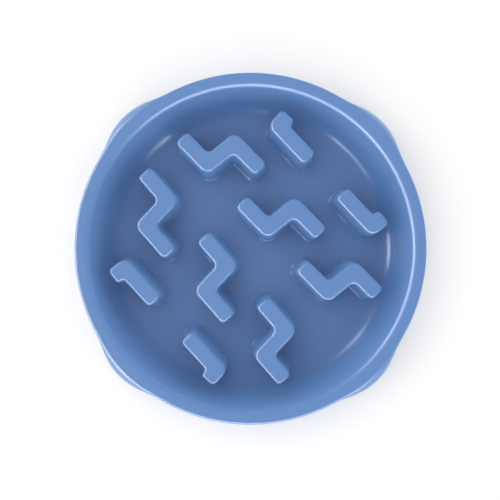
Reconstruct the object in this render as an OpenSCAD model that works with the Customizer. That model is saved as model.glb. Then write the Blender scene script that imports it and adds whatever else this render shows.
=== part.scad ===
// Slow feeder bowl: a round basin with a maze of ten hollow ridges, moulded in one piece with
// its rim and skirt. The skirt spreads into four foot lobes, and each lobe holds a rubber pad.
// Millimetres. Z is up, and the origin lies on the table under the middle of the bowl.

/* [Rim] */
// Outer diameter over the rim
rim_d = 270; // [256:1:290]
// Height of the rim above the table
rim_h = 62; // [54:1:72]
// Width of the rim band between the basin and the rim's outer edge
rim_band = 10.9; // [9:0.1:12]
// Rounding of the rim's outer edge
rim_outer_r = 2.2; // [1.2:0.1:2.6]
// Rounding of the rim's inner edge
rim_inner_r = 5.2; // [4:0.1:5.6]
// Height of the rim's upright edge
rim_edge_h = 6; // [4:0.5:8]
// Step from the rim's edge back to the skirt
rim_step = 0.5; // [0.3:0.1:1]

/* [Basin] */
// Height of the basin floor above the table
floor_h = 11; // [9:0.5:16]
// Lean of the basin wall away from upright
basin_draft = 8; // [6:0.5:10]
// Radius of the hollow corner between floor and wall
basin_fillet = 12; // [8:0.5:14]
// Thickness of the moulded wall
wall = 2.6; // [2.2:0.1:3]

/* [Maze] */
// Drop from the rim to the ridge tops
ridge_drop = 7; // [4:0.5:12]
// Width over a ridge at its top
ridge_w = 12.8; // [10.6:0.2:13.4]
// Thickness of a ridge's walls
ridge_wall = 2.4; // [2:0.1:2.8]
// Lean of a ridge's sides away from upright
ridge_draft = 2.5; // [1.5:0.1:3]
// Rounding of a ridge's top edge
ridge_edge_r = 2.4; // [1.4:0.1:2.8]
// Radius of a ridge's end corners, seen from above
ridge_end_r = 3.8; // [2.8:0.1:4.6]
// Radius of a ridge's bend on its outer side
bend_outer_r = 7.6; // [6:0.1:9]
// Radius of a ridge's bend on its inner side
bend_inner_r = 4.6; // [3.6:0.1:5.4]
// Distance between the zigzags of one row
zigzag_pitch = 68.1; // [66:0.1:69]
// Distance from the maze's axis to a row of zigzags
zigzag_row = 34.4; // [33:0.1:35]
// Length of a zigzag's end legs
end_leg = 29.4; // [27:0.1:30]
// Length of a zigzag's middle leg
middle_leg = 26.6; // [25:0.1:27]
// What the leg beside the basin wall is shorter by
end_leg_trim = 3.8; // [2:0.1:6]
// Distance from the maze's axis to a row of bars
bar_row = 81.6; // [80.5:0.1:83]
// Distance from the maze's middle to a bar's inner end
bar_start = 18; // [16:0.1:22]
// Distance from the maze's middle to a bar's bend
bar_bend = 53.4; // [51:0.1:54.5]
// Length of the hook at a bar's outer end
bar_hook = 11.5; // [9:0.1:12]
// Shift of the maze along its own axis, off the bowl's middle
maze_shift = -1.2; // [-2:0.1:0]
// Shift of the maze across its own axis
maze_side_shift = -0.8; // [-1.5:0.1:0]

/* [Skirt] */
// Height of the skirt's hem above the table
hem_h = 2; // [1.5:0.1:2.5]
// How far the skirt spreads from the rim down to the hem
skirt_spread = 5; // [3:0.5:8]
// How far a foot lobe reaches past the rim
lobe_overhang = 15.5; // [13:0.5:20]
// How a lobe's side curves from its shoulder down: 1 is straight, and less is fuller
lobe_curve = 0.25; // [0.2:0.05:1]
// Radius of a foot lobe, seen from above
lobe_r = 44; // [40:1:50]
// Radius of the hollow blend beside a foot lobe
lobe_blend_r = 36; // [20:1:44]

/* [Feet] */
// Distance from a lobe's tip in to the middle of its foot pad
foot_inset = 15.5; // [14:0.5:19]
// Diameter of the boss that holds a pad
boss_d = 18; // [16:0.5:20]
// Diameter of the boss's bore
bore_d = 10; // [8:0.5:11]
// Depth of the boss's bore
bore_depth = 12; // [10.5:0.5:14]
// Thickness of the webs that carry a boss
web_t = 2; // [1.6:0.1:2.4]
// Diameter of a foot pad
pad_d = 20; // [17:0.5:24]
// Thickness of a foot pad
pad_t = 3; // [2.8:0.1:4]
// Rounding of a foot pad's lower edge
pad_edge_r = 0.8; // [0.4:0.1:1.2]
// Length of the plug above a pad
plug_len = 9; // [7:0.5:10]
// Room around a plug in its bore, on each side
plug_room = 0.1; // [0.05:0.05:0.2]

/* [Hidden] */

// What a cut runs past a face
overrun = 1;

// Angle of the maze's axis in the bowl, and of the first foot
maze_angle = -45.85;
// What each half of the maze turns away from its axis
half_angle = 0.45;
foot_angle = 45;
feet = 4;
// Angles of a zigzag's end and middle legs, and of a bar's hook, from the maze's axis
end_leg_angle = 1.2;
middle_leg_angle = 86;
hook_angle = 86;
// What two corners may take of a short edge between them
corner_share = 0.98;

// Steps of round stretches
profile_steps = 8;
bend_steps = 5;
corner_steps = 3;
edge_steps = 3;
hollow_steps = 2;
lobe_steps = 7;
blend_steps = 3;
skirt_steps = 6;
flare_steps = 6;
under_steps = 3;

rim_r = rim_d / 2;
basin_r = rim_r - rim_band;
skirt_top_r = rim_r - rim_step;
skirt_hem_r = skirt_top_r + skirt_spread;
rim_edge_z = rim_h - rim_edge_h;
rim_under_z = rim_h - wall;
floor_under_z = floor_h - wall;

// The basin's hollow corner: an arc about this middle touches the floor and the leaning wall
fillet_z = floor_h + basin_fillet;
fillet_x = basin_r - (rim_h - fillet_z) * tan(basin_draft) - basin_fillet / cos(basin_draft);
// The rim's inner edge: an arc about this middle touches the wall and the rim's top
inner_edge_z = rim_h - rim_inner_r;
inner_edge_x = basin_r - rim_inner_r * tan(basin_draft) + rim_inner_r / cos(basin_draft);

// Ridges
ridge_z = rim_h - ridge_drop;
ridge_slope = tan(ridge_draft);
ridge_shoulder_z = ridge_z - ridge_edge_r;
// The least radius of a corner inside a ridge
hollow_corner_r = ridge_wall / 3;

// Plugs and pads
plug_r = bore_d / 2 - plug_room;
plug_lead = plug_room + bore_d / 16;
groove_r = pad_d / 3;
groove_w = pad_edge_r;
groove_depth = pad_t / 6;

$fn = 96;

function arc_points(middle, r, from, to, steps) =
    [for (k = [0 : steps]) let (a = from + (to - from) * k / steps) middle + r * [cos(a), sin(a)]];

// Zigzags and bars, as lines of points in the maze's own plane: the first coordinate runs
// along the maze's axis, the second away from it

function along(angle, length) = length * [cos(angle), sin(angle)];

function zigzag_path(place, trim) =
    let (
        middle = [place * zigzag_pitch, zigzag_row],
        half = along(middle_leg_angle, middle_leg / 2)
    )
    [
        middle - half - along(end_leg_angle, end_leg),
        middle - half,
        middle + half,
        middle + half + along(end_leg_angle, end_leg - trim)
    ];

function bar_path(side) =
    let (
        start = [side * bar_start, bar_row],
        bend = [side * bar_bend, bar_row],
        hook = along(hook_angle, bar_hook),
        path = [start, bend, bend + [side * hook[0], hook[1]]]
    )
    path;

ridge_paths = [
    zigzag_path(-1, 0),
    zigzag_path(0, 0),
    zigzag_path(1, end_leg_trim),
    bar_path(-1),
    bar_path(1)
];

// The outline of a ridge, for a band of half width w about its path, grown by g on all sides

function unit(v) = v / norm(v);
function left_of(v) = [-v[1], v[0]];
function turn(a, b) = atan2(a[0] * b[1] - a[1] * b[0], a * b);
function mitre(a, b) = (left_of(a) + left_of(b)) / (1 + a * b);

function band_side(path, dirs, w) =
    let (last = len(path) - 1)
    [
        for (i = [0 : last])
            path[i] + w * (
                i == 0 ? left_of(dirs[0])
                : i == last ? left_of(dirs[last - 1])
                : mitre(dirs[i - 1], dirs[i])
            )
    ];

function grown(path, dirs, g) =
    let (last = len(path) - 1)
    [
        for (i = [0 : last])
            i == 0 ? path[0] - g * dirs[0]
            : i == last ? path[last] + g * dirs[last - 1]
            : path[i]
    ];

function reversed(list) = [for (i = [len(list) - 1 : -1 : 0]) list[i]];

function band_corners(path, w, g) =
    let (
        last = len(path) - 1,
        dirs = [for (i = [0 : last - 1]) unit(path[i + 1] - path[i])],
        line = grown(path, dirs, g)
    )
    concat(band_side(line, dirs, -w - g), reversed(band_side(line, dirs, w + g)));

// The radius at an end of the path, an outer bend or an inner bend
function corner_radius(at_end, angle, g, least) =
    max(least, at_end ? ridge_end_r + g : angle > 0 ? bend_outer_r + g : bend_inner_r - g);

function rounded_corner(before, corner, r, angle, steps) =
    let (
        dir = unit(corner - before),
        side = angle > 0 ? 1 : -1,
        start = corner - r * tan(abs(angle) / 2) * dir,
        middle = start + side * r * left_of(dir),
        from = atan2(start[1] - middle[1], start[0] - middle[0])
    )
    arc_points(middle, r, from, from + angle, steps);

// Where an edge is too short for its two corners, both get the same share of their radius
function band_outline(path, w, g, least, bend_n, end_n) =
    let (
        corners = band_corners(path, w, g),
        count = len(corners),
        edges = [for (i = [0 : count - 1]) corners[(i + 1) % count] - corners[i]],
        angles = [for (i = [0 : count - 1]) turn(edges[(i + count - 1) % count], edges[i])],
        at_end = [for (i = [0 : count - 1]) i == 0 || i == count - 1 || i == count / 2 || i == count / 2 - 1],
        radii = [for (i = [0 : count - 1]) corner_radius(at_end[i], angles[i], g, least)],
        reaches = [for (i = [0 : count - 1]) radii[i] * tan(abs(angles[i]) / 2)],
        shares = [
            for (i = [0 : count - 1])
                min(1, corner_share * norm(edges[i]) / (reaches[i] + reaches[(i + 1) % count]))
        ]
    )
    [
        for (i = [0 : count - 1])
            let (before = (i + count - 1) % count)
            each rounded_corner(
                corners[before],
                corners[i],
                radii[i] * min(shares[before], shares[i]),
                angles[i],
                at_end[i] ? end_n : bend_n
            )
    ];

// A solid through closed outlines, one above the other, with equal numbers of points. Its flat
// ends are strips across a band, or fans about the middle of a round outline.
module loft(outlines, heights, round_ends = false) {
    count = len(outlines[0]);
    levels = len(outlines);
    top = (levels - 1) * count;
    middles = levels * count;
    points = concat(
        [
            for (j = [0 : levels - 1])
                for (p = outlines[j])
                    [p[0], p[1], heights[j]]
        ],
        round_ends ? [[0, 0, heights[0]], [0, 0, heights[levels - 1]]] : []
    );
    sides = [
        for (j = [0 : levels - 2])
            for (i = [0 : count - 1])
                let (a = j * count + i, b = j * count + (i + 1) % count)
                each [[a, a + count, b + count], [a, b + count, b]]
    ];
    fans = [
        for (i = [0 : count - 1])
            let (next = (i + 1) % count)
            each [[middles, i, next], [middles + 1, top + next, top + i]]
    ];
    strips = [
        for (i = [0 : count / 2 - 2])
            let (a = i, b = i + 1, c = count - 2 - i, d = count - 1 - i)
            each [[a, b, c], [a, c, d], [top + c, top + b, top + a], [top + d, top + c, top + a]]
    ];
    polyhedron(points, concat(sides, round_ends ? fans : strips));
}

// One ridge as a solid: leaning sides, and a rounded edge round its flat top
module ridge(path) {
    root_z = floor_h - wall / 2;
    edge = [
        for (k = [0 : edge_steps])
            let (a = ridge_draft + (90 - ridge_draft) * k / edge_steps)
            [
                ridge_shoulder_z + ridge_edge_r * sin(a),
                ridge_edge_r * (cos(a) - cos(ridge_draft))
            ]
    ];
    levels = concat([[root_z, (edge[0][0] - root_z) * ridge_slope]], edge);
    loft(
        [
            for (level = levels)
                band_outline(path, ridge_w / 2, level[1], ridge_edge_r / 4, bend_steps, corner_steps)
        ],
        [for (level = levels) level[0]]
    );
}

// The hollow inside a ridge, open beneath
module ridge_hollow(path) {
    top_z = ridge_z - ridge_wall;
    low_z = floor_under_z - overrun;
    levels = [[low_z, (ridge_shoulder_z - low_z) * ridge_slope], [top_z, (ridge_shoulder_z - top_z) * ridge_slope]];
    loft(
        [
            for (level = levels)
                band_outline(
                    path, ridge_w / 2, level[1] - ridge_wall, hollow_corner_r, hollow_steps, hollow_steps
                )
        ],
        [for (level = levels) level[0]]
    );
}

// The maze's five ridges and their mirror images
module maze_copies() {
    rotate(maze_angle)
        translate([maze_shift, maze_side_shift])
            for (side = [0, 1])
                mirror([0, side, 0])
                    rotate(half_angle)
                        children();
}

module ridges() {
    maze_copies()
        for (path = ridge_paths)
            ridge(path);
}

module ridge_hollows() {
    maze_copies()
        for (path = ridge_paths)
            ridge_hollow(path);
}

// The basin's space, from its floor to above the rim
module basin_space() {
    rotate_extrude()
        polygon(concat(
            [[0, floor_h]],
            arc_points([fillet_x, fillet_z], basin_fillet, -90, -basin_draft, profile_steps),
            arc_points([inner_edge_x, inner_edge_z], rim_inner_r, 180 - basin_draft, 90, profile_steps),
            [[inner_edge_x, rim_h + overrun], [0, rim_h + overrun]]
        ));
}

// The basin's outer face, as a solid that ends inside the rim, with a hollow corner under it
module basin_body() {
    rotate_extrude()
        polygon(concat(
            [[0, floor_under_z]],
            arc_points([fillet_x, fillet_z], basin_fillet + wall, -90, -basin_draft, profile_steps),
            arc_points([inner_edge_x, inner_edge_z], rim_inner_r - wall, 180 - basin_draft, 90, under_steps),
            [[inner_edge_x, rim_h], [0, rim_h]]
        ));
}

// The rim's disc, rounded at its outer edge
module rim_body() {
    rotate_extrude()
        polygon(concat(
            [[0, rim_edge_z], [rim_r, rim_edge_z]],
            arc_points([rim_r - rim_outer_r, rim_h - rim_outer_r], rim_outer_r, 0, 90, profile_steps),
            [[0, rim_h]]
        ));
}

// The skirt's hem, seen from above and drawn in by t: a circle, four lobes, and hollow blends
// that touch both. Angles are taken from the nearest lobe's middle.

lobe_reach = rim_r + lobe_overhang;
lobe_x = lobe_reach - lobe_r;
blend_x = skirt_hem_r + lobe_blend_r;
blend_angle = acos((lobe_x ^ 2 + blend_x ^ 2 - (lobe_r + lobe_blend_r) ^ 2) / (2 * lobe_x * blend_x));

// Where lobe and blend touch
function touch_angle(t) =
    let (
        lobe_middle = [lobe_x, 0],
        blend_middle = blend_x * [cos(blend_angle), sin(blend_angle)],
        touch = lobe_middle + (lobe_r - t) * unit(blend_middle - lobe_middle)
    )
    atan2(touch[1], touch[0]);

function hem_radius(a, t) =
    let (b = a - blend_angle, lobe = lobe_r - t, blend = lobe_blend_r + t)
    a < touch_angle(t) ? lobe_x * cos(a) + sqrt(lobe ^ 2 - (lobe_x * sin(a)) ^ 2)
    : a < blend_angle ? blend_x * cos(b) - sqrt(blend ^ 2 - (blend_x * sin(b)) ^ 2)
    : skirt_hem_r - t;

// Angles from one lobe's middle to the midway point beside it
outline_angles = concat(
    [for (k = [0 : lobe_steps - 1]) touch_angle(0) * k / lobe_steps],
    [for (k = [0 : blend_steps - 1]) touch_angle(0) + (blend_angle - touch_angle(0)) * k / blend_steps],
    [for (k = [0 : skirt_steps]) blend_angle + (180 / feet - blend_angle) * k / skirt_steps]
);
half_count = len(outline_angles) - 1;

// Round the bowl: out from each lobe's middle and back to the next
function round_the_bowl(outline_radius) =
    [
        for (foot = [0 : feet - 1])
            for (k = [0 : 2 * half_count - 1])
                let (
                    near = outline_angles[k > half_count ? 2 * half_count - k : k],
                    a = foot_angle + 360 / feet * foot + (k > half_count ? 360 / feet - near : near)
                )
                outline_radius(near) * [cos(a), sin(a)]
    ];

// The skirt's outline at a height, drawn in by t, for lobes whose shoulders lie at the height top.
// The plain skirt leans evenly from the rim's edge down, and each lobe swells out from its
// shoulder, just under the rim.
function skirt_outline(z, t, top) =
    let (
        lean = max(0, rim_edge_z - z) / (rim_edge_z - hem_h) * skirt_spread,
        swell = ((top - z) / (top - hem_h)) ^ lobe_curve
    )
    round_the_bowl(function(a) skirt_top_r - t + lean + (hem_radius(a, t) - skirt_hem_r + t) * swell);

// Heights from the hem up to a shoulder, closer together towards the top
function skirt_heights(top) =
    [for (k = [0 : flare_steps]) top - (top - hem_h) * (1 - k / flare_steps) ^ 3];

shoulder_z = rim_h - wall / 2;

module skirt_body() {
    heights = skirt_heights(shoulder_z);
    loft([for (z = heights) skirt_outline(z, 0, shoulder_z)], heights, round_ends = true);
}

foot_radius = lobe_reach - foot_inset;

// What holds a pad beneath each lobe: a boss, and two crossing webs up to the rim
module foot_support() {
    web_z = pad_t + web_t;
    web_inner = boss_d;
    translate([foot_radius, 0, pad_t])
        cylinder(d = boss_d, h = bore_depth + wall);
    translate([foot_radius - web_inner, -web_t / 2, web_z])
        cube([web_inner + lobe_reach - foot_radius, web_t, rim_h - web_z]);
    translate([foot_radius - web_t / 2, -lobe_r, web_z])
        cube([web_t, 2 * lobe_r, rim_h - web_z]);
}

module at_foot(index) {
    rotate(foot_angle + 360 / feet * index)
        children();
}

// The space beneath the rim and the basin that the skirt encloses
module under_space() {
    top = shoulder_z - wall;
    heights = skirt_heights(top);
    difference() {
        loft(
            [for (z = concat([hem_h], heights, [top])) skirt_outline(z, wall, top)],
            concat([hem_h - overrun], heights, [rim_under_z]),
            round_ends = true
        );
        basin_body();
        for (i = [0 : feet - 1])
            at_foot(i)
                foot_support();
    }
}

module bores() {
    for (i = [0 : feet - 1])
        at_foot(i)
            translate([foot_radius, 0, pad_t - overrun])
                cylinder(d = bore_d, h = bore_depth + overrun);
}

module bowl_shell() {
    color("cornflowerblue")
        difference() {
            union() {
                difference() {
                    union() {
                        skirt_body();
                        rim_body();
                    }
                    under_space();
                    basin_space();
                }
                ridges();
            }
            ridge_hollows();
            bores();
        }
}

// A rubber pad: a disc with a grip groove beneath and a plug above
module foot_pad() {
    pad_r = pad_d / 2;
    plug_top = pad_t + plug_len;
    color("dimgray")
        translate([foot_radius, 0, 0])
            rotate_extrude()
                polygon(concat(
                    [
                        [0, 0],
                        [groove_r - groove_w, 0],
                        [groove_r - groove_w, groove_depth],
                        [groove_r, groove_depth],
                        [groove_r, 0]
                    ],
                    arc_points([pad_r - pad_edge_r, pad_edge_r], pad_edge_r, -90, 0, profile_steps),
                    [
                        [pad_r, pad_t],
                        [plug_r, pad_t],
                        [plug_r, plug_top - plug_lead],
                        [plug_r - plug_lead, plug_top],
                        [0, plug_top]
                    ]
                ));
}

bowl_shell();
at_foot(0) foot_pad();  // foot_pad_back_right
at_foot(1) foot_pad();  // foot_pad_back_left
at_foot(2) foot_pad();  // foot_pad_front_left
at_foot(3) foot_pad();  // foot_pad_front_right
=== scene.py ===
# %% [markdown]
# # A slow feeder bowl, dressed around its CAD frame
# The real bowl is five pieces: one injection moulding with its rim, skirt, feet and maze of ridges, and four
# rubber pads plugged into it from below. The CAD model gives the sizes and the places. This lesson keeps the
# pads as they are, and builds the moulding again with the roundings and hollow corners that a real mould has.

# %% Load the CAD frame
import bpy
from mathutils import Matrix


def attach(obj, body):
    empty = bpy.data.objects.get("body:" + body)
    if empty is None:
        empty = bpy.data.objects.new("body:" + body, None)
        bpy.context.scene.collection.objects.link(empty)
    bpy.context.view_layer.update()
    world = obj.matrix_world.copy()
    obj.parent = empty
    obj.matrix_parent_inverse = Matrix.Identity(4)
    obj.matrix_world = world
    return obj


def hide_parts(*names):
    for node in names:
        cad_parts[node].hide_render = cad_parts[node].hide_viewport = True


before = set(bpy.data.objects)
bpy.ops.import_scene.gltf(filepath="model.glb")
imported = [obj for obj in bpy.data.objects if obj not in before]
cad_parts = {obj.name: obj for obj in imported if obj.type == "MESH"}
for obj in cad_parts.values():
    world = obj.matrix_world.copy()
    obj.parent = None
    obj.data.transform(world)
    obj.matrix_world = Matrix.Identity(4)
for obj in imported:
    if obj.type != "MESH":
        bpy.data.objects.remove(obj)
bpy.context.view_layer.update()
print("CAD nodes:", sorted(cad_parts))

# %% [markdown]
# The drawing's numbers are millimetres, and Blender's unit is the metre. Every shape below is worked out in
# millimetres, which keeps the numbers easy to read, and each finished mesh is scaled once.

# %% Blender's modules and the two units
import math

import bmesh
import bpy
import numpy as np
from mathutils import Matrix, Vector, geometry, kdtree

MM = 0.001
scene = bpy.context.scene


def polar(radius, degrees):
    """A point in the plane, from its distance and its direction."""
    return Vector((radius * math.cos(math.radians(degrees)), radius * math.sin(math.radians(degrees))))


print("a millimetre is", MM, "of Blender's units")

# %% [markdown]
# ## The camera
# The bowl was photographed from straight above, so that every ridge shows its top and hardly any side. A
# camera 700 mm above the rim, with a 66 mm lens, gives the photograph's size and its slight perspective. The
# photograph is turned by 1.4 degrees, and the bowl's middle lies a little above the picture's middle.

# %% Camera straight above the bowl
CAMERA_HEIGHT = 762
CAMERA_TURN = 1.4
CAMERA_AIM = (-0.38, -1.04)
LENS = 65.9
SENSOR_WIDTH = 36
camera_data = bpy.data.cameras.new("camera_above")
camera_data.lens = LENS
camera_data.sensor_width = SENSOR_WIDTH
camera = bpy.data.objects.new("camera_above", camera_data)
camera.location = Vector((*CAMERA_AIM, CAMERA_HEIGHT)) * MM
camera.rotation_euler = (0, 0, math.radians(CAMERA_TURN))
scene.collection.objects.link(camera)
scene.camera = camera
print("camera at", tuple(round(value, 4) for value in camera.location))

# %% [markdown]
# ## The finishes
# The moulding is polypropylene, coloured through in a soft blue. Its mould was lightly spark-eroded, so the
# plastic has a satin sheen with a faint grain, and handling has left it slightly uneven in gloss. Such a
# surface stays bright where it is seen at a flat angle, as the maze's walls are here, and that is what the
# shader's Diffuse Roughness does. The patterns could be pictures wrapped round the pieces, but noise on
# Object coordinates needs no unwrapping and has no seams. Their unit is the metre, so a pattern's scale is
# one divided by its real size.

# %% Helpers: a colour, a node with its settings and links, and an empty material
def colour(hex_value):
    """An sRGB hex value as Blender's linear colour."""
    channels = [int(hex_value[i:i + 2], 16) / 255 for i in (0, 2, 4)]
    return tuple(c / 12.92 if c <= 0.04045 else ((c + 0.055) / 1.055) ** 2.4 for c in channels) + (1.0,)


def add_node(tree, kind, inputs=None, **settings):
    """Adds a node with its settings. An input, by label or number, takes a value, a socket or several."""
    node = tree.nodes.new(kind)
    for key, value in settings.items():
        setattr(node, key, value)
    for key, value in (inputs or {}).items():
        for one in value if isinstance(value, list) else [value]:
            if isinstance(one, bpy.types.NodeSocket):
                tree.links.new(one, node.inputs[key])
            else:
                node.inputs[key].default_value = one
    return node


def per_metre(size):
    """The scale of a noise whose patches are this many millimetres wide."""
    return 1 / (size * MM)


def new_material(name):
    """An empty material: itself, its tree, its Principled shader and its Object coordinates."""
    material = bpy.data.materials.new(name)
    material.use_nodes = True
    tree = material.node_tree
    tree.nodes.clear()
    shader = add_node(tree, "ShaderNodeBsdfPrincipled")
    add_node(tree, "ShaderNodeOutputMaterial", {"Surface": shader.outputs[0]})
    return material, tree, shader, add_node(tree, "ShaderNodeTexCoord").outputs["Object"]


# %% Satin polypropylene, spark-eroded mould
def moulded_polypropylene():
    """Soft satin blue: a broad highlight, broken up by a fine grain, on a body colour that hardly varies."""
    material, tree, shader, place = new_material("moulded_polypropylene_blue")
    shader.inputs["IOR"].default_value = 1.49
    shader.inputs["Specular IOR Level"].default_value = 0.35
    shader.inputs["Diffuse Roughness"].default_value = 1.0
    clouds = add_node(tree, "ShaderNodeTexNoise", {"Vector": place, "Scale": per_metre(45), "Detail": 3.0})
    body = add_node(tree, "ShaderNodeMix", {
        0: clouds.outputs["Fac"], "A": colour("678DC1"), "B": colour("6991C5"),
    }, data_type="RGBA")
    tree.links.new(body.outputs["Result"], shader.inputs["Base Color"])
    # Handling leaves long faint scuffs, so this noise is stretched along one direction
    along = add_node(tree, "ShaderNodeMapping", {
        "Vector": place, "Rotation": (0, 0, 0.6), "Scale": (1, 5, 1),
    }).outputs[0]
    scuffs = add_node(tree, "ShaderNodeTexNoise", {"Vector": along, "Scale": per_metre(30), "Detail": 6.0})
    # The range starts at 0.28, because a render's denoiser leaves dark specks on anything much glossier
    gloss = add_node(tree, "ShaderNodeMapRange", {
        "Value": scuffs.outputs["Fac"], "From Min": 0.3, "From Max": 0.7, "To Min": 0.28, "To Max": 0.32,
    })
    tree.links.new(gloss.outputs["Result"], shader.inputs["Roughness"])
    # The real grain is about 0.2 mm; it is drawn 1.1 mm wide, which is the least that still shows
    grain = add_node(tree, "ShaderNodeTexNoise", {"Vector": place, "Scale": per_metre(1.1), "Detail": 2.0})
    bump = add_node(tree, "ShaderNodeBump", {
        "Height": grain.outputs["Fac"], "Strength": 0.05, "Distance": 0.2 * MM,
    })
    tree.links.new(bump.outputs[0], shader.inputs["Normal"])
    return material


blue_plastic = moulded_polypropylene()
print("material:", blue_plastic.name, "with", len(blue_plastic.node_tree.nodes), "nodes")


# %% [markdown]
# The pads are moulded from a thermoplastic rubber, so that they grip the table. It is a dull dark grey with a
# dusty bloom. Its mould was coarser than the bowl's and left small raised cells. Noise would make clouds, so
# a Voronoi pattern draws the cells.

# %% Moulded rubber
def moulded_rubber():
    """Dark grey thermoplastic rubber: dull, with a dusty bloom and a coarse grip grain."""
    material, tree, shader, place = new_material("moulded_rubber_grey")
    shader.inputs["IOR"].default_value = 1.52
    dust = add_node(tree, "ShaderNodeTexNoise", {"Vector": place, "Scale": per_metre(6), "Detail": 5.0})
    body = add_node(tree, "ShaderNodeMix", {
        0: dust.outputs["Fac"], "A": colour("2E2F31"), "B": colour("4A4B4D"),
    }, data_type="RGBA")
    tree.links.new(body.outputs["Result"], shader.inputs["Base Color"])
    gloss = add_node(tree, "ShaderNodeMapRange", {
        "Value": dust.outputs["Fac"], "To Min": 0.6, "To Max": 0.85,
    })
    tree.links.new(gloss.outputs["Result"], shader.inputs["Roughness"])
    grip = add_node(tree, "ShaderNodeTexVoronoi", {"Vector": place, "Scale": per_metre(0.8)})
    bump = add_node(tree, "ShaderNodeBump", {
        "Height": grip.outputs["Distance"], "Strength": 0.4, "Distance": 0.2 * MM,
    })
    tree.links.new(bump.outputs[0], shader.inputs["Normal"])
    return material


grey_rubber = moulded_rubber()
print("material:", grey_rubber.name, "with", len(grey_rubber.node_tree.nodes), "nodes")

# %% [markdown]
# ## The basin's own curve
# A bowl is easy to wash where floor and wall meet in a wide hollow corner. Its section is a flat floor, an
# arc of 12 mm, and a wall that leans out by 8 degrees so that the moulding leaves its mould. One rule gives
# the height of this surface at any distance from the middle. The underside follows the same rule with a
# wider arc, which keeps the wall 2.6 mm thick all the way.

# %% Basin sizes and the rule for its height
RIM_R = 135
RIM_TOP = 62
WALL = 2.6
FLOOR_TOP = 11
BASIN_R = 124.1
BASIN_LEAN = 8
CORNER_R = 12
CORNER_Z = FLOOR_TOP + CORNER_R
lean_tan = math.tan(math.radians(BASIN_LEAN))
lean_cos = math.cos(math.radians(BASIN_LEAN))
CORNER_X = BASIN_R - (RIM_TOP - CORNER_Z) * lean_tan - CORNER_R / lean_cos
UNDER_CORNER_R = CORNER_R + WALL


def basin_height(radius, corner_r):
    """Height of the basin's inner face (corner_r of 12 mm) or of its underside (14.6 mm)."""
    past = min(max(radius - CORNER_X, 0), corner_r * lean_cos)
    return CORNER_Z - math.sqrt(corner_r ** 2 - past ** 2)


print("floor at", basin_height(0, CORNER_R), "mm")
print("its underside at", round(basin_height(0, UNDER_CORNER_R), 2), "mm")

# %% [markdown]
# ## The maze of ridges
# Six zigzags and four hooked bars slow a dog's eating. Each is a band 12.8 mm wide along a bent line, and one
# half of the maze is the mirror image of the other, so five lines are enough. Sweeping a section along the
# line would fold over itself at the tight inner bends. Drawing the band's outline, rounding its corners, and
# stacking wider and narrower copies of it gives clean walls instead.

# %% The five lines that the ridges follow
ZIGZAG_PITCH = 68.1
ZIGZAG_ROW = 34.4
END_LEG = 29.4
END_LEG_ANGLE = 1.2
MIDDLE_LEG = 26.6
CROSS_ANGLE = 86
END_LEG_TRIM = 3.8
BAR_ROW = 81.6
BAR_START = 18
BAR_BEND = 53.4
BAR_HOOK = 11.5


def zigzag_line(place, trim):
    """Two legs along the maze's axis, joined by one that crosses it."""
    middle = Vector((place * ZIGZAG_PITCH, ZIGZAG_ROW))
    half = polar(MIDDLE_LEG / 2, CROSS_ANGLE)
    return [
        middle - half - polar(END_LEG, END_LEG_ANGLE),
        middle - half,
        middle + half,
        middle + half + polar(END_LEG - trim, END_LEG_ANGLE),
    ]


def bar_line(side):
    """A bar along the maze's axis, with a short hook towards the wall."""
    bend = Vector((side * BAR_BEND, BAR_ROW))
    hook = polar(BAR_HOOK, CROSS_ANGLE)
    return [Vector((side * BAR_START, BAR_ROW)), bend, bend + Vector((side * hook.x, hook.y))]


zigzag_lines = [zigzag_line(-1, 0), zigzag_line(0, 0), zigzag_line(1, END_LEG_TRIM)]
ridge_lines = zigzag_lines + [bar_line(-1), bar_line(1)]
print(len(ridge_lines), "lines, mirrored to", 2 * len(ridge_lines), "ridges")

# %% The outline of a band about a line, grown or shrunk on all sides
RIDGE_HALF = 6.4
END_R = 3.8
OUTER_BEND_R = 7.6
INNER_BEND_R = 4.6
LEAST_R = 0.3
EDGE_SHARE = 0.98
LONGEST_STEP = 3
BEND_STEPS = 8
END_STEPS = 7


def left_of(direction):
    """The direction a quarter turn to the left."""
    return Vector((-direction.y, direction.x))


def band_corners(line, grow):
    """The band's sharp corners: along its right side, then back along its left side."""
    ways = [(b - a).normalized() for a, b in zip(line, line[1:])]
    line = [line[0] - grow * ways[0], *line[1:-1], line[-1] + grow * ways[-1]]
    bends = [left_of(ways[0])]
    bends += [(left_of(a) + left_of(b)) / (1 + a.dot(b)) for a, b in zip(ways, ways[1:])]
    bends.append(left_of(ways[-1]))
    right = [p - (RIDGE_HALF + grow) * bend for p, bend in zip(line, bends)]
    left = [p + (RIDGE_HALF + grow) * bend for p, bend in zip(line, bends)]
    return right + left[::-1]


def turn_at(before, corner, after):
    """The angle by which an outline turns at a corner, positive to the left."""
    into, out = corner - before, after - corner
    return math.atan2(into.x * out.y - into.y * out.x, into.dot(out))


def corner_arc(before, corner, after, radius, steps):
    """Points of the arc that rounds one corner."""
    into, angle = (corner - before).normalized(), turn_at(before, corner, after)
    side = math.copysign(1, angle)
    start = corner - radius * math.tan(abs(angle) / 2) * into
    middle = start + side * radius * left_of(into)
    return [
        middle + Matrix.Rotation(angle * k / steps, 2) @ (start - middle)
        for k in range(steps + 1)
    ]


def corner_radius(is_end, turn, grow):
    """A grown band's ends and outer bends are wider, and its inner bends are tighter."""
    if is_end:
        return max(LEAST_R, END_R + grow)
    return max(LEAST_R, OUTER_BEND_R + grow if turn > 0 else INNER_BEND_R - grow)


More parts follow.
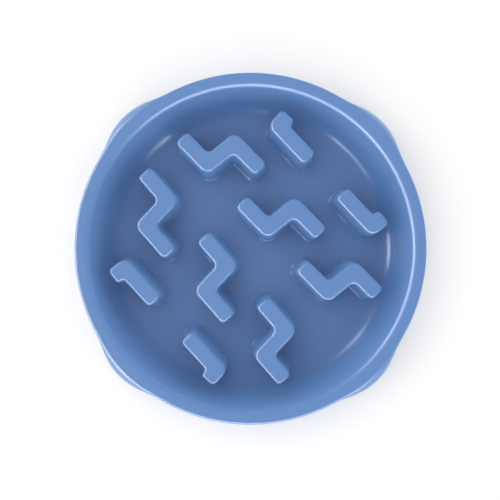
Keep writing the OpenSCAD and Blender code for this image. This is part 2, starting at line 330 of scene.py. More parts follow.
def band_outline(line, grow):
    """The rounded outline, with points along its straight stretches too, always the same number of them."""
    corners = band_corners(line, grow)
    count = len(corners)
    ends = (0, count - 1, count // 2, count // 2 - 1)
    edges = [(corners[(i + 1) % count] - corners[i]).length for i in range(count)]
    turns = [turn_at(corners[i - 1], corners[i], corners[(i + 1) % count]) for i in range(count)]
    radii = [corner_radius(i in ends, turns[i], grow) for i in range(count)]
    # Where an edge is too short for its two corners, both get the same share of their radius
    reaches = [radius * math.tan(abs(angle) / 2) for radius, angle in zip(radii, turns)]
    shares = [
        min(1, EDGE_SHARE * edges[i] / (reaches[i] + reaches[(i + 1) % count])) for i in range(count)
    ]
    arcs = []
    for i, corner in enumerate(corners):
        radius = radii[i] * min(shares[i - 1], shares[i])
        steps = END_STEPS if i in ends else BEND_STEPS
        arcs.append(corner_arc(corners[i - 1], corner, corners[(i + 1) % count], radius, steps))
    plain = band_corners(line, 0)
    outline = []
    for i, arc in enumerate(arcs):
        outline += arc
        gap = (plain[(i + 1) % count] - plain[i]).length
        parts = max(1, round(gap / LONGEST_STEP))
        outline += [arc[-1].lerp(arcs[(i + 1) % count][0], k / parts) for k in range(1, parts)]
    return outline


print("points round a zigzag:", len(band_outline(ridge_lines[0], 0)))

# %% [markdown]
# Each ridge stands on the floor with a hollow corner of 2.4 mm, rises with walls that lean by 2.5 degrees,
# and ends in a flat top with a rounded edge. Beneath it is hollow, because a thick rib would sink as it
# cools. The skins of the ridge and of its hollow are both stacks of outlines. A number on every point says
# how far it follows the basin's surface, for the ridges that run up into the basin's corner.

# %% Stacks of outlines for a ridge and its hollow
RIDGE_TOP = 55
RIDGE_EDGE_R = 2.4
RIDGE_LEAN = 2.5
RIDGE_WALL = 2.4
RIDGE_FOOT_R = 2.4
HOLLOW_LIP_R = 1.2
HOLLOW_EDGE_R = 0.9
ROUND_STEPS = 6
FOOT_STEPS = 5
LIP_STEPS = 3
ridge_tan = math.tan(math.radians(RIDGE_LEAN))
ridge_sin = math.sin(math.radians(RIDGE_LEAN))
ridge_cos = math.cos(math.radians(RIDGE_LEAN))
shoulder_z = RIDGE_TOP - RIDGE_EDGE_R


def spread(z):
    """How far the leaning wall stands out at a height, against its shoulder."""
    return (shoulder_z - z) * ridge_tan


def ridge_levels():
    """From the foot up: growth of the outline, height, and how far the point follows the basin."""
    levels = []
    foot_middle = spread(FLOOR_TOP) + RIDGE_FOOT_R * (1 - ridge_sin) / ridge_cos
    for k in range(FOOT_STEPS + 1):
        a = math.radians(270 + (RIDGE_LEAN - 90) * k / FOOT_STEPS)
        z = FLOOR_TOP + RIDGE_FOOT_R * (1 + math.sin(a))
        levels.append((foot_middle + RIDGE_FOOT_R * math.cos(a), z, 1.0))
    for k in range(ROUND_STEPS + 1):
        a = math.radians(RIDGE_LEAN + (90 - RIDGE_LEAN) * k / ROUND_STEPS)
        z = shoulder_z + RIDGE_EDGE_R * math.sin(a)
        levels.append((RIDGE_EDGE_R * (math.cos(a) - ridge_cos), z, 0.0))
    return levels


def hollow_levels():
    """The same for the space inside a ridge, from its lip up to its ceiling."""
    under = FLOOR_TOP - WALL
    levels = []
    lip_middle = spread(under) - RIDGE_WALL + HOLLOW_LIP_R
    for k in range(LIP_STEPS + 1):
        a = math.radians(270 - 90 * k / LIP_STEPS)
        z = under + HOLLOW_LIP_R * (1 + math.sin(a))
        levels.append((lip_middle + HOLLOW_LIP_R * math.cos(a), z, 1.0))
    ceiling = RIDGE_TOP - RIDGE_WALL
    wall_end = spread(ceiling) - RIDGE_WALL
    for k in range(LIP_STEPS + 1):
        a = math.radians(90 * k / LIP_STEPS)
        z = ceiling - HOLLOW_EDGE_R * (1 - math.sin(a))
        levels.append((wall_end - HOLLOW_EDGE_R * (1 - math.cos(a)), z, 0.0))
    return levels


print("levels of a ridge:", len(ridge_levels()), "and of its hollow:", len(hollow_levels()))


# %% Skins from stacked outlines, as one mesh of five masters
def stacked_skins(name, lines, levels):
    """One mesh of all the lines' skins, open at the foot and closed at the top."""
    mesh = bpy.data.meshes.new(name)
    points, faces, follow = [], [], []
    for line in lines:
        base = len(points)
        for grow, z, share in levels:
            outline = band_outline(line, grow)
            points += [(p.x, p.y, z) for p in outline]
            follow += [share] * len(outline)
            count = len(outline)
        for j in range(len(levels) - 1):
            for i in range(count):
                a, b = base + j * count + i, base + j * count + (i + 1) % count
                faces.append((a, b, b + count, a + count))
        last = base + (len(levels) - 1) * count
        faces.append([last + i for i in range(count)])
    mesh.from_pydata(points, [], faces)
    mesh.attributes.new("follows_basin", "FLOAT", "POINT").data.foreach_set("value", follow)
    return mesh


ridge_masters = stacked_skins("ridge_masters", ridge_lines, ridge_levels())
hollow_masters = stacked_skins("hollow_masters", ridge_lines, hollow_levels())
print("masters:", len(ridge_masters.vertices), "and", len(hollow_masters.vertices), "points")

# %% [markdown]
# Geometry Nodes repeat the five masters. The tree turns them by the half's own small angle, adds their mirror
# image with its faces flipped back outwards, shifts and turns the whole maze into its place in the bowl, and
# lifts each foot onto the basin's curved corner. Its inputs have names, so the same tree lays out the ridges
# and the hollows beneath them.


# %% Helpers for a geometry tree
def new_geometry_tree(name, inputs):
    """A tree with a geometry coming in, named inputs, and a geometry going out."""
    tree = bpy.data.node_groups.new(name, "GeometryNodeTree")
    tree.interface.new_socket("Geometry", in_out="INPUT", socket_type="NodeSocketGeometry")
    for label, kind in inputs.items():
        tree.interface.new_socket(label, in_out="INPUT", socket_type=kind)
    tree.interface.new_socket("Geometry", in_out="OUTPUT", socket_type="NodeSocketGeometry")
    return tree, add_node(tree, "NodeGroupInput").outputs


def finish_tree(tree, geometry_out, material_out):
    """Every tree ends the same way: real geometry with its material."""
    real = add_node(tree, "GeometryNodeRealizeInstances", {0: geometry_out}).outputs[0]
    dressed = add_node(tree, "GeometryNodeSetMaterial", {"Geometry": real, "Material": material_out})
    add_node(tree, "NodeGroupOutput", {0: dressed.outputs[0]})


def run_tree(mesh, tree, values):
    """Puts the tree on a mesh, sets its inputs by their identifiers, and returns what comes out of it."""
    holder = bpy.data.objects.new(mesh.name, mesh)
    scene.collection.objects.link(holder)
    modifier = holder.modifiers.new(tree.name, "NODES")
    modifier.node_group = tree
    sockets = {item.name: item.identifier for item in tree.interface.items_tree if item.in_out == "INPUT"}
    for label, value in values.items():
        modifier[sockets[label]] = value
    result = bpy.data.meshes.new_from_object(holder.evaluated_get(bpy.context.evaluated_depsgraph_get()))
    bpy.data.objects.remove(holder)
    return result


# %% The tree that lays out the maze
def turned(tree, geometry_in, angle):
    """The geometry, turned about the upright axis."""
    turn = add_node(tree, "FunctionNodeAxisAngleToRotation", {"Axis": (0, 0, 1), "Angle": angle}).outputs[0]
    return add_node(tree, "GeometryNodeTransform", {"Geometry": geometry_in, "Rotation": turn}).outputs[0]


maze_tree, given = new_geometry_tree("maze_layout", {
    "Half turn": "NodeSocketFloat", "Maze turn": "NodeSocketFloat",
    "Shift": "NodeSocketVector", "Corner start": "NodeSocketFloat",
    "Corner radius": "NodeSocketFloat", "Material": "NodeSocketMaterial",
})
near_half = turned(maze_tree, given["Geometry"], given["Half turn"])
mirrored = add_node(maze_tree, "GeometryNodeTransform", {"Geometry": near_half, "Scale": (1, -1, 1)})
far_half = add_node(maze_tree, "GeometryNodeFlipFaces", {0: mirrored.outputs[0]}).outputs[0]
both = add_node(maze_tree, "GeometryNodeJoinGeometry", {0: [near_half, far_half]}).outputs[0]
shifted = add_node(maze_tree, "GeometryNodeTransform", {"Geometry": both, "Translation": given["Shift"]})
placed = turned(maze_tree, shifted.outputs[0], given["Maze turn"])

# How high the basin has risen under a point: the arc's radius less its height left at that distance
position = add_node(maze_tree, "GeometryNodeInputPosition").outputs[0]
flat = add_node(maze_tree, "ShaderNodeVectorMath", {0: position, 1: (1, 1, 0)}, operation="MULTIPLY")
distance = add_node(maze_tree, "ShaderNodeVectorMath", {0: flat.outputs[0]}, operation="LENGTH")
beyond = add_node(maze_tree, "ShaderNodeMath", {
    0: distance.outputs["Value"], 1: given["Corner start"],
}, operation="SUBTRACT")
past = add_node(maze_tree, "ShaderNodeMath", {0: beyond.outputs[0], 1: 0}, operation="MAXIMUM")
radius_squared = add_node(maze_tree, "ShaderNodeMath", {0: given["Corner radius"], 1: 2}, operation="POWER")
past_squared = add_node(maze_tree, "ShaderNodeMath", {0: past.outputs[0], 1: 2}, operation="POWER")
height_squared = add_node(maze_tree, "ShaderNodeMath", {
    0: radius_squared.outputs[0], 1: past_squared.outputs[0],
}, operation="SUBTRACT")
height = add_node(maze_tree, "ShaderNodeMath", {0: height_squared.outputs[0]}, operation="SQRT")
rise = add_node(maze_tree, "ShaderNodeMath", {
    0: given["Corner radius"], 1: height.outputs[0],
}, operation="SUBTRACT")
follow = add_node(maze_tree, "GeometryNodeInputNamedAttribute", {"Name": "follows_basin"}, data_type="FLOAT")
lift = add_node(maze_tree, "ShaderNodeMath", {
    0: rise.outputs[0], 1: follow.outputs[0],
}, operation="MULTIPLY")
upwards = add_node(maze_tree, "ShaderNodeCombineXYZ", {"Z": lift.outputs[0]}).outputs[0]
settled = add_node(maze_tree, "GeometryNodeSetPosition", {"Geometry": placed, "Offset": upwards})
finish_tree(maze_tree, settled.outputs[0], given["Material"])
print("maze tree:", len(maze_tree.nodes), "nodes")


# %% The ten ridges and their hollows
HALF_TURN = 0.45
MAZE_TURN = -45.85
MAZE_SHIFT = (-1.2, -0.8, 0.0)
maze_values = {
    "Half turn": math.radians(HALF_TURN), "Maze turn": math.radians(MAZE_TURN),
    "Shift": MAZE_SHIFT, "Corner start": CORNER_X, "Material": blue_plastic,
}
ridge_skins = run_tree(ridge_masters, maze_tree, {**maze_values, "Corner radius": float(CORNER_R)})
hollow_skins = run_tree(hollow_masters, maze_tree, {**maze_values, "Corner radius": UNDER_CORNER_R})
print("ridges:", len(ridge_skins.polygons), "faces, hollows:", len(hollow_skins.polygons))

# %% [markdown]
# ## Rim, skirt and hem
# From the basin's wall the surface goes over the rim, down the skirt to its hem, back up inside, and down
# the basin's outer face. Seen from above the rim is round, and four lobes pass out of it over a full
# shoulder, which widens the stance. A ring of points for each station, all with the same directions, makes
# this one strip of faces after another.

# %% The outline of the hem: a circle, four lobes, and hollow blends between them
DIRECTIONS = 360
HEM_Z = 2
HEM_R = 1.1
SKIRT_TOP_R = 134.5
SKIRT_HEM_R = 139.5
RIM_EDGE_Z = 56
FIRST_LOBE = 45
LOBE_REACH = 150.5
LOBE_R = 44
BLEND_R = 36
LOBE_X = LOBE_REACH - LOBE_R
BLEND_X = SKIRT_HEM_R + BLEND_R
blend_cos = (LOBE_X ** 2 + BLEND_X ** 2 - (LOBE_R + BLEND_R) ** 2) / (2 * LOBE_X * BLEND_X)
BLEND_ANGLE = math.degrees(math.acos(blend_cos))
touch = Vector((LOBE_X, 0)) + LOBE_R * (polar(BLEND_X, BLEND_ANGLE) - Vector((LOBE_X, 0))).normalized()


def hem_radius(degrees):
    """Distance from the middle to the hem, in a direction: on a lobe, on a blend or on the circle."""
    a = abs(degrees % 90 - FIRST_LOBE)
    if a < math.degrees(math.atan2(touch.y, touch.x)):
        b = math.radians(a)
        return LOBE_X * math.cos(b) + math.sqrt(LOBE_R ** 2 - (LOBE_X * math.sin(b)) ** 2)
    if a < BLEND_ANGLE:
        b = math.radians(a - BLEND_ANGLE)
        return BLEND_X * math.cos(b) - math.sqrt(BLEND_R ** 2 - (BLEND_X * math.sin(b)) ** 2)
    return SKIRT_HEM_R


# %% How a lobe grows out of the rim
LOBE_TOP_R = 134.3
SHOULDER_W = 6
SHOULDER_DEPTH = 12
LOBE_LEAN = (LOBE_REACH - LOBE_TOP_R - SHOULDER_W) / (RIM_TOP - HEM_Z)


def lobe_share(degrees):
    """How much of a lobe there is in a direction: 1 at its middle, and 0 between the lobes."""
    return (hem_radius(degrees) - SKIRT_HEM_R) / (LOBE_REACH - SKIRT_HEM_R)


def lobe_radius(z, inset):
    """A lobe's own section: level with the rim, round a full shoulder, and leaning out down to the hem."""
    depth = min(max(RIM_TOP - inset - z, 0) / SHOULDER_DEPTH, 1)
    return LOBE_TOP_R - inset + SHOULDER_W * math.sqrt(1 - (1 - depth) ** 2) + LOBE_LEAN * (RIM_TOP - z)


def with_lobes(degrees, radius, z, inset=0):
    """Passes from the plain section's radius to the lobe's."""
    return radius + lobe_share(degrees) * (lobe_radius(z, inset) - radius)


def skirt_radius(degrees, z, inset):
    """The plain skirt leans evenly from the rim's edge down to the hem, and the lobes swell out of it."""
    lean = max(0, RIM_EDGE_Z - z) / (RIM_EDGE_Z - HEM_Z) * (SKIRT_HEM_R - SKIRT_TOP_R)
    return with_lobes(degrees, SKIRT_TOP_R - inset + lean, z, inset)


directions = [360 * i / DIRECTIONS for i in range(DIRECTIONS)]
print("hem from", round(hem_radius(0), 2), "to", round(hem_radius(FIRST_LOBE), 2), "mm from the middle")


# %% The stations of the rings, from the basin's wall round to its underside
def arc_section(middle, radius, start, end, steps):
    """Points of an arc in the section, as distance and height."""
    return [Vector(middle) + polar(radius, start + (end - start) * k / steps) for k in range(steps + 1)]


def circle(radius, z):
    """A round ring of points."""
    return [(*polar(radius, a), z) for a in directions]


def skirt_ring(z, inset, height=None):
    """A ring on the skirt, or with the skirt's plan at z but at another height."""
    return [(*polar(skirt_radius(a, z, inset), a), z if height is None else height) for a in directions]


def down_from(top, bottom, steps):
    """Heights from the top down, close together where the lobes swell fast."""
    return [top + (bottom - top) * (k / steps) ** 2 for k in range(steps + 1)]


RIM_INNER_R = 5.2
RIM_OUTER_R = 2.2
RIM_STEP_R = 0.25
RIM_BAND_HEIGHTS = (59.2, 58.6, 58, 57.4, 56.8)
SKIRT_STEPS = 18
HEM_STEPS = 5
JUST_BELOW = 0.1
inner_edge = (BASIN_R - RIM_INNER_R * lean_tan + RIM_INNER_R / lean_cos, RIM_TOP - RIM_INNER_R)
wall_foot = (CORNER_X, CORNER_Z)
inner_section = [polar(CORNER_R, -BASIN_LEAN) + Vector(wall_foot)]
inner_section += arc_section(inner_edge, RIM_INNER_R, 180 - BASIN_LEAN, 90, steps=8)
rings = [circle(p.x, p.y) for p in inner_section]
outer_edge = (RIM_R - RIM_OUTER_R, RIM_TOP - RIM_OUTER_R)
outer_section = arc_section(outer_edge, RIM_OUTER_R, 90, 0, steps=14)
outer_section += [Vector((RIM_R, z)) for z in RIM_BAND_HEIGHTS]
outer_section += arc_section((RIM_R - RIM_STEP_R, RIM_EDGE_Z + RIM_STEP_R), RIM_STEP_R, 0, -80, steps=3)
for p in outer_section:
    rings.append([(*polar(with_lobes(a, p.x, p.y), a), p.y) for a in directions])
low = HEM_Z + HEM_R
rings += [skirt_ring(z, 0) for z in down_from(RIM_EDGE_Z - JUST_BELOW, low, SKIRT_STEPS)[:-1]]
hem_round = []
for k in range(HEM_STEPS + 1):
    a = math.radians(90 * k / HEM_STEPS)
    hem_round.append((HEM_R * (1 - math.cos(a)), low - HEM_R * math.sin(a)))
rings += [skirt_ring(low, inset, z) for inset, z in hem_round]
rings += [skirt_ring(low, WALL - inset, z) for inset, z in hem_round[::-1]]
rings += [skirt_ring(z, WALL) for z in down_from(RIM_TOP - WALL - JUST_BELOW, low, SKIRT_STEPS)[-2::-1]]
rings.append(circle(SKIRT_TOP_R - WALL, RIM_TOP - WALL))
under_edge = arc_section(inner_edge, RIM_INNER_R - WALL, 90, 180 - BASIN_LEAN, steps=6)
rings += [circle(p.x, p.y) for p in under_edge]
under_foot = polar(UNDER_CORNER_R, -BASIN_LEAN) + Vector(wall_foot)
rings.append(circle(under_foot.x, under_foot.y))
print(len(rings), "rings of", DIRECTIONS, "points")

# %% [markdown]
# ## The floor between the ridges
# The floor has to meet every ridge's foot point for point. A Boolean would leave slivers along these soft
# hollow corners. Blender's constrained Delaunay triangulation is made for this: it takes the rim of the floor
# and the ridges' outlines as edges that must stay, fills the plan between them with triangles, and each point
# is then lifted to the basin's height at its distance from the middle.


# %% Helpers that read open edges and fill a plan
CORNER_RINGS = 12
CLEAR_OF_FEET = 0.9
SAME_POINT = 1e-5


def open_loops(bm):
    """The mesh's open edges, as loops of points in order."""
    after = {}
    for edge in bm.edges:
        if edge.is_boundary:
            loop = edge.link_loops[0]
            after[loop.vert] = loop.link_loop_next.vert
    loops = []
    while after:
        start, vert = next(iter(after.items()))
        del after[start]
        ring = [start]
        while vert is not start:
            ring.append(vert)
            vert = after.pop(vert)
        loops.append(ring)
    return loops


def plan(ring):
    """The points of a loop, seen from above."""
    return np.array([(vert.co.x, vert.co.y) for vert in ring])


def covered(places, outline):
    """Which of these places lie inside an outline, by counting its edges on one side of them."""
    x, y = places[:, 0, None], places[:, 1, None]
    ax, ay = outline[:, 0], outline[:, 1]
    bx, by = np.roll(ax, -1), np.roll(ay, -1)
    across = (ay > y) != (by > y)
    height = np.where(by == ay, 1.0, by - ay)
    return (across & (x < (bx - ax) * (y - ay) / height + ax)).sum(axis=1) % 2 == 1


def under_ridges(places, outlines):
    """Which of these places lie inside any of the outlines."""
    inside = np.zeros(len(places), bool)
    for outline in outlines:
        inside |= covered(places, outline)
    return inside


def fill_floor(bm, outer, feet, corner_r):
    """Fills the plan between the outer ring and the feet, and lifts it onto the basin's surface."""
    outlines = [plan(foot) for foot in feet]
    known = [vert for ring in [outer, *feet] for vert in ring]
    near = kdtree.KDTree(len(known))
    for i, vert in enumerate(known):
        near.insert((vert.co.x, vert.co.y, 0), i)
    near.balance()
    # Rings of new points where the surface curves, every other one turned by half a step
    rises = [math.radians((90 - BASIN_LEAN) * k / CORNER_RINGS) for k in range(CORNER_RINGS)]
    radii = [CORNER_X + corner_r * math.sin(a) for a in rises]
    extra = [polar(radius, a + (0.5 if k % 2 else 0)) for k, radius in enumerate(radii) for a in directions]
    hidden = under_ridges(np.array([tuple(p) for p in extra]), outlines)
    extra = [
        p for p, under in zip(extra, hidden)
        if not under and near.find((p.x, p.y, 0))[2] > CLEAR_OF_FEET
    ]
    verts = known + [bm.verts.new((p.x, p.y, basin_height(p.length, corner_r))) for p in extra]
    # The edges that the triangulation has to keep
    edges, start = [], 0
    for ring in [outer, *feet]:
        count = len(ring)
        edges += [(start + i, start + (i + 1) % count) for i in range(count)]
        start += count
    flat_points = [Vector((vert.co.x, vert.co.y)) for vert in verts]
    found = geometry.delaunay_2d_cdt(flat_points, edges, [], 0, SAME_POINT)
    places, triangles, sources = found[0], found[2], found[3]
    # The triangles inside a ridge's outline are left out
    middles = np.array([tuple(sum((places[i] for i in tri), Vector((0, 0))) / 3) for tri in triangles])
    made = 0
    for tri, under in zip(triangles, under_ridges(middles, outlines)):
        corners = [verts[sources[i][0]] for i in tri]
        if not under and len(set(corners)) == 3:
            bm.faces.new(corners)
            made += 1
    return made


# %% The closed skin of the moulding
shell = bmesh.new()
shell.from_mesh(ridge_skins)
ridge_feet = open_loops(shell)
shell.from_mesh(hollow_skins)
known_feet = {vert for foot in ridge_feet for vert in foot}
hollow_lips = [loop for loop in open_loops(shell) if loop[0] not in known_feet]
ring_verts = [[shell.verts.new(p) for p in ring] for ring in rings]
for upper, lower in zip(ring_verts, ring_verts[1:]):
    for i in range(DIRECTIONS):
        j = (i + 1) % DIRECTIONS
        shell.faces.new((upper[i], lower[i], lower[j], upper[j]))
top_faces = fill_floor(shell, ring_verts[0], ridge_feet, CORNER_R)
under_faces = fill_floor(shell, ring_verts[-1], hollow_lips, UNDER_CORNER_R)
bmesh.ops.recalc_face_normals(shell, faces=shell.faces)
open_edges = sum(1 for edge in shell.edges if not edge.is_manifold)
skin = bpy.data.meshes.new("moulding_skin")
shell.to_mesh(skin)
shell.free()
print("floor:", top_faces, "triangles, underside:", under_faces, "and edges not closed:", open_edges)


# %% [markdown]
# ## What stands under the lobes
# A pad needs something firm to plug into. Under each lobe the moulding has a round boss with a bore, held by
# two thin webs that cross in it and run up to the rim. One of each is drawn, and a second Geometry Nodes tree
# sets four round the bowl. These join the skin with Booleans, which is right here: the webs pass into the
# walls at clear angles, and their edges are crisp on the real moulding too.

# %% The tree that sets four round the bowl
round_tree, given = new_geometry_tree("four_round_the_bowl", {
    "Count": "NodeSocketInt", "First angle": "NodeSocketFloat", "Material": "NodeSocketMaterial",
})
spots = add_node(round_tree, "GeometryNodePoints", {"Count": given["Count"], "Radius": 1.0}).outputs[0]
index = add_node(round_tree, "GeometryNodeInputIndex").outputs[0]
step = add_node(round_tree, "ShaderNodeMath", {0: math.tau, 1: given["Count"]}, operation="DIVIDE")
angle = add_node(round_tree, "ShaderNodeMath", {
    0: index, 1: step.outputs[0], 2: given["First angle"],
}, operation="MULTIPLY_ADD")
spin = add_node(round_tree, "FunctionNodeAxisAngleToRotation", {"Axis": (0, 0, 1), "Angle": angle.outputs[0]})
copies = add_node(round_tree, "GeometryNodeInstanceOnPoints", {
    "Points": spots, "Instance": given["Geometry"], "Rotation": spin.outputs[0],
})
finish_tree(round_tree, copies.outputs[0], given["Material"])
print("round tree:", len(round_tree.nodes), "nodes")

# %% Webs and bosses under one lobe, which lies on the X axis until the tree turns it
FEET = 4
PAD_DISTANCE = 135
WEB = 2
WEB_Z = 5
BOSS_R = 9
BOSS_BEVEL = 0.5
BORE_R = 5
BOSS_Z = 3
BORE_TOP = 15
BOSS_TOP = BORE_TOP + WALL
WEB_INNER = PAD_DISTANCE - 2 * BOSS_R
ROUND_SIDES = 64
half_wall = WALL / 2


def slab(name, outline, across):
    """A flat plate from its outline: in the X-Z plane if across is Y, in the Y-Z plane if across is X."""
    def place(point, side):
        """A point of the outline on one face of the plate."""
        if across == "Y":
            return (point[0], side * WEB / 2, point[1])
        return (PAD_DISTANCE + side * WEB / 2, point[0], point[1])
    count = len(outline)
    points = [place(p, side) for side in (-1, 1) for p in outline]
    faces = [list(range(count)), [count + i for i in reversed(range(count))]]
    faces += [(i, i + count, (i + 1) % count + count, (i + 1) % count) for i in range(count)]
    mesh = bpy.data.meshes.new(name)
    mesh.from_pydata(points, [], faces)
    return outwards(mesh)


def outwards(mesh):
    """Merges doubles and turns all faces outwards."""
    bm = bmesh.new()
    bm.from_mesh(mesh)
    bmesh.ops.remove_doubles(bm, verts=bm.verts, dist=SAME_POINT)
    bmesh.ops.recalc_face_normals(bm, faces=bm.faces)
    bm.to_mesh(mesh)
    bm.free()
    return mesh


def turned_solid(name, section, middle_x, sides):
    """A closed solid of revolution about an upright axis, from its section of distances and heights."""
    count = len(section)
    points = [(middle_x + r * math.cos(math.tau * k / sides), r * math.sin(math.tau * k / sides), z)
              for k in range(sides) for r, z in section]
    faces = [(k * count + i, (k + 1) % sides * count + i, (k + 1) % sides * count + i + 1, k * count + i + 1)
             for k in range(sides) for i in range(count - 1)]
    faces += [[k * count for k in range(sides)], [k * count + count - 1 for k in range(sides)]]
    mesh = bpy.data.meshes.new(name)
    mesh.from_pydata(points, [], faces)
    return outwards(mesh)


def mid_wall(z):
    """Distance of the lobe's mid wall from the middle, at a height."""
    return skirt_radius(FIRST_LOBE, z, half_wall)


corner_start = -math.degrees(math.acos((WEB_INNER - CORNER_X) / (CORNER_R + half_wall)))
rim_mid = RIM_TOP - half_wall
radial_outline = [Vector((WEB_INNER, WEB_Z))]
radial_outline += arc_section(wall_foot, CORNER_R + half_wall, corner_start, -BASIN_LEAN, steps=8)
radial_outline += arc_section(inner_edge, RIM_INNER_R - half_wall, 180 - BASIN_LEAN, 90, steps=4)
radial_outline.append(Vector((mid_wall(rim_mid), rim_mid)))
radial_outline += [Vector((mid_wall(z), z)) for z in down_from(rim_mid - JUST_BELOW, WEB_Z, steps=12)]
radial_web = slab("radial_web", radial_outline, "Y")


WIDEST_ANGLE = 40.0
HALVINGS = 40


def web_reach(z):
    """Half the cross web's length at a height. Halving finds where its plane meets the lobe's mid wall."""
    low, high = 0.0, WIDEST_ANGLE
    for _ in range(HALVINGS):
        a = (low + high) / 2
        across = skirt_radius(FIRST_LOBE + a, z, half_wall) * math.cos(math.radians(a))
        inside = across > PAD_DISTANCE
        low, high = (a, high) if inside else (low, a)
    return PAD_DISTANCE * math.tan(math.radians(low))


web_top = min(z for z in np.linspace(RIM_EDGE_Z, rim_mid, num=800) if mid_wall(z) < PAD_DISTANCE)
heights = down_from(web_top, WEB_Z, steps=16)[:0:-1]
cross_outline = [Vector((web_reach(z), z)) for z in heights] + [Vector((0, web_top))]
cross_outline += [Vector((-p.x, p.y)) for p in cross_outline[-2::-1]]
cross_web = slab("cross_web", cross_outline, "X")
boss_section = [(BOSS_R - BOSS_BEVEL, BOSS_Z), (BOSS_R, BOSS_Z + BOSS_BEVEL), (BOSS_R, BOSS_TOP)]
bore_section = [(BORE_R, BOSS_Z - 1), (BORE_R, BORE_TOP)]
boss = turned_solid("boss", boss_section, PAD_DISTANCE, ROUND_SIDES)
bore = turned_solid("bore", bore_section, PAD_DISTANCE, ROUND_SIDES)
print("web reaches", round(web_reach(WEB_Z), 1), "mm to each side and", round(web_top, 1), "mm up")


# %% Four of each, joined to the skin
def joined(mesh, steps):
    """The mesh after its Booleans, in order, as a plain mesh."""
    base = bpy.data.objects.new("moulding", mesh)
    scene.collection.objects.link(base)
    tools = []
    for operation, tool_mesh in steps:
        tool = bpy.data.objects.new(tool_mesh.name, tool_mesh)
        scene.collection.objects.link(tool)
        tools.append(tool)
        cut = base.modifiers.new(tool_mesh.name, "BOOLEAN")
        cut.object, cut.operation, cut.solver = tool, operation, "MANIFOLD"
    result = bpy.data.meshes.new_from_object(base.evaluated_get(bpy.context.evaluated_depsgraph_get()))
    for used in [base, *tools]:
        bpy.data.objects.remove(used)
    return result


round_values = {"Count": FEET, "First angle": math.radians(FIRST_LOBE), "Material": blue_plastic}
feet_steps = [("UNION", run_tree(part, round_tree, round_values)) for part in (radial_web, cross_web, boss)]
feet_steps.append(("DIFFERENCE", run_tree(bore, round_tree, round_values)))
moulding = joined(skin, feet_steps)
print("moulding:", len(moulding.vertices), "points,", len(moulding.polygons), "faces")


# %% [markdown]
# ## Shading the moulding
# The mesh is shaded smooth, apart from edges sharper than 35 degrees. Smooth shading alone would tilt the
# normals of the flat floor and the flat tops towards the roundings beside them. A Weighted Normal modifier
# gives each point's normal to its largest faces, which keeps flats flat and lets the roundings turn.

# %% Scale, smooth and weight the normals
SHARP_ANGLE = 35


def finished(mesh, name, material):
    """A piece at the origin, in metres, with weighted normals and one material."""
    mesh.transform(Matrix.Scale(MM, 4))
    mesh.shade_smooth()
    mesh.set_sharp_from_angle(angle=math.radians(SHARP_ANGLE))
    mesh.materials.clear()
    mesh.materials.append(material)
    mesh.polygons.foreach_set("material_index", [0] * len(mesh.polygons))
    rough = bpy.data.objects.new(name + "_rough", mesh)
    scene.collection.objects.link(rough)
    weighted = rough.modifiers.new("weighted", "WEIGHTED_NORMAL")
    weighted.keep_sharp, weighted.mode = True, "FACE_AREA"
    result = bpy.data.meshes.new_from_object(rough.evaluated_get(bpy.context.evaluated_depsgraph_get()))
    bpy.data.objects.remove(rough)
    result.name = name
    piece = bpy.data.objects.new(name, result)
    scene.collection.objects.link(piece)
    return piece


bowl = finished(moulding, "bowl_moulding", blue_plastic)
check = bmesh.new()
check.from_mesh(bowl.data)
loose = sum(1 for edge in check.edges if not edge.is_manifold)
volume = check.calc_volume() / MM ** 3
triangles = sum(len(face.verts) - 2 for face in check.faces)
check.free()
print("bowl:", triangles, "triangles,", loose, "open edges,", round(volume / 1000, 1), "cm3 of plastic")

# %% [markdown]
# ## Joining the frame
# The new moulding stands for the CAD's moulding, which stays behind it for collision. The pads are right as
# the CAD made them, and get the rubber in the frame's own material slots.

# %% Ride, replace and dress
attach(bowl, "root")
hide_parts("bowl_shell")
for name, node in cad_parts.items():
    if name.startswith("foot_pad"):
        for slot in node.material_slots:
            slot.material = grey_rubber
print("pads dressed:", sum(name.startswith("foot_pad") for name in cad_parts))

# %% [markdown]
# ## The studio
# The photograph has a white ground, a narrow soft shadow all round the bowl, and a bright line along each
# edge that faces left, down or the upper left. A bright room gives the even tone. A softbox overhead, a
# little to the left, leans the shadow to the right, and is hidden from reflections, which keeps the flat
# tops even. Four tall panels stand round the left and the front like a folding screen. They are hidden from
# diffuse rays, so they draw the lines on the plastic without lighting the ground. The paper is a warm white,
# because the blue bowl throws some blue light on it, and the photographed shadow is a plain grey.

# %% Floor
FLOOR_HALF = 4.0
floor_mesh = bpy.data.meshes.new("studio_floor")
floor_corners = [(x * FLOOR_HALF, y * FLOOR_HALF, 0) for x, y in ((-1, -1), (1, -1), (1, 1), (-1, 1))]
floor_mesh.from_pydata(floor_corners, [], [(0, 1, 2, 3)])
studio_floor = bpy.data.objects.new("studio_floor", floor_mesh)
scene.collection.objects.link(studio_floor)
paper, _, paper_shader, _ = new_material("matt_paper_white")
paper_shader.inputs["Base Color"].default_value = colour("F9F5F0")
paper_shader.inputs["Roughness"].default_value = 0.9
paper_shader.inputs["Specular IOR Level"].default_value = 0.2
floor_mesh.materials.append(paper)
print("floor:", 2 * FLOOR_HALF, "m wide")


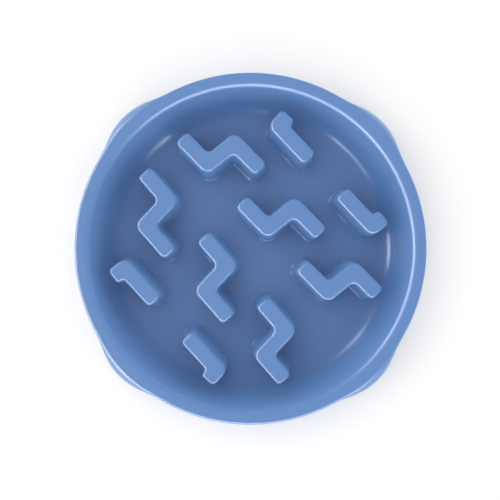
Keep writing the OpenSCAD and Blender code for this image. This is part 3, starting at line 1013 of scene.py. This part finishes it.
# %% Lights
SCREEN_AZIMUTHS = (161, 204, 246, 289)
ROOM_AT_WALLS = 1.3
ROOM_ABOVE = 0.96
REFLECTION_KEPT = 0.4


def softbox(name, azimuth, elevation, distance, size, power):
    """A rectangular area light that faces the bowl. Its place and size are in metres, its power in watts."""
    data = bpy.data.lights.new(name, "AREA")
    data.shape, data.size, data.size_y, data.energy = "RECTANGLE", *size, power
    light = bpy.data.objects.new(name, data)
    flat = polar(distance * math.cos(math.radians(elevation)), azimuth)
    light.location = (flat.x, flat.y, distance * math.sin(math.radians(elevation)))
    light.rotation_euler = (-light.location).to_track_quat("-Z", "Y").to_euler()
    scene.collection.objects.link(light)
    return light


overhead = softbox("overhead", azimuth=154, elevation=76, distance=1.9, size=(1.4, 1.4), power=8)
overhead.visible_glossy = False
for turn in SCREEN_AZIMUTHS:
    screen = softbox(f"screen_{turn}", azimuth=turn, elevation=22, distance=3.0, size=(2.45, 2.4), power=225)
    screen.visible_diffuse = False
world = bpy.data.worlds.new("studio")
world.use_nodes = True
sky = world.node_tree
background = next(node for node in sky.nodes if node.type == "BACKGROUND")
background.inputs["Color"].default_value = colour("F6F8FA")
# The room is brighter towards its walls than above, which lights the basin's wall
sky_place = add_node(sky, "ShaderNodeTexCoord").outputs["Generated"]
sky_height = add_node(sky, "ShaderNodeSeparateXYZ", {0: sky_place}).outputs["Z"]
room = add_node(sky, "ShaderNodeMapRange", {
    "Value": sky_height, "From Min": 0.0, "From Max": 1.0, "To Min": ROOM_AT_WALLS, "To Max": ROOM_ABOVE,
})
# A polarising filter takes away most of the room's own reflections, and leaves those of the screens
glossy = add_node(sky, "ShaderNodeLightPath").outputs["Is Glossy Ray"]
kept = add_node(sky, "ShaderNodeMapRange", {"Value": glossy, "To Min": 1.0, "To Max": REFLECTION_KEPT})
strength = add_node(sky, "ShaderNodeMath", {
    0: room.outputs["Result"], 1: kept.outputs["Result"],
}, operation="MULTIPLY")
sky.links.new(strength.outputs[0], background.inputs["Strength"])
scene.world = world
scene.view_settings.view_transform = "Standard"
scene.view_settings.look = "None"
